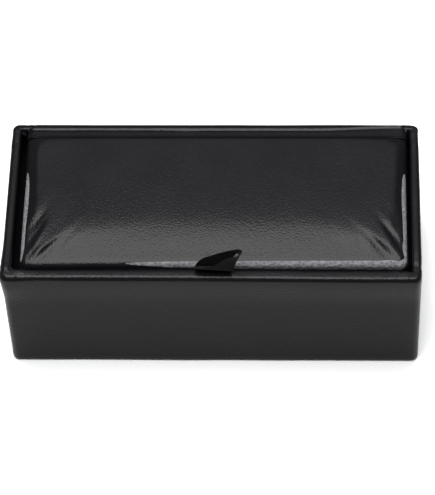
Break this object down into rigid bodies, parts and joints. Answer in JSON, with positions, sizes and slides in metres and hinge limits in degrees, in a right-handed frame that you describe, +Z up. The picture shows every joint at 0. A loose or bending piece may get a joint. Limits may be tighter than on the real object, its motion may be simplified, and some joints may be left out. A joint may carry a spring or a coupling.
{
  "type": "cufflink display box",
  "caption": "Small rectangular black leatherette gift box with an inset padded lid on a fabric hinge, a ribbon pull and a slit velvet cushion for cufflinks.",
  "frame": {"origin": "middle of the underside, on the surface the box stands on", "axes": "+X to the right along the length, front faces -Y, +Z up"},
  "size_m": [0.08, 0.0376, 0.0334],
  "materials": {
    "leatherette": "fine pebble grain, satin sheen",
    "base_paper": "matt black textured paper",
    "greyboard": "plain grey board",
    "lining_satin": "black satin",
    "velvet": "black velvet pile",
    "foam": "dark grey open-cell foam",
    "ribbon": "black satin ribbon"
  },
  "bodies": {
    "base": {"base_board": "greyboard", "front_wall_board": "greyboard", "rear_wall_board": "greyboard", "left_wall_board": "greyboard", "right_wall_board": "greyboard", "outer_wrap": "leatherette", "base_cover": "base_paper", "front_ledge_board": "greyboard", "rear_ledge_board": "greyboard", "left_ledge_board": "greyboard", "right_ledge_board": "greyboard", "ledge_lining": "lining_satin", "floor_lining": "lining_satin", "insert_card": "greyboard", "insert_foam": "foam", "insert_velvet": "velvet", "hinge_wall_leaf": "leatherette"},
    "lid": {"hinge_lid_leaf": "leatherette", "lid_board": "greyboard", "lid_padding": "foam", "lid_wrap": "leatherette", "lining_card": "greyboard", "lining_padding": "foam", "lining_satin": "lining_satin", "ribbon_ends": "ribbon"},
    "pull": {"pull_loop": "ribbon"}
  },
  "joints": [
    {"name": "lid_hinge", "type": "hinge", "parent": "base", "child": "lid", "pos_m": [0, 0.0165, 0.02825], "axis": [-1, 0, 0], "range_deg": [0, 108]},
    {"name": "ribbon_flex", "type": "hinge", "parent": "lid", "child": "pull", "pos_m": [0.0005, -0.0159, 0.0278], "axis": [1, 0, 0], "range_deg": [-40, 25], "stiffness_Nm_per_rad": 0.0002}
  ]
}
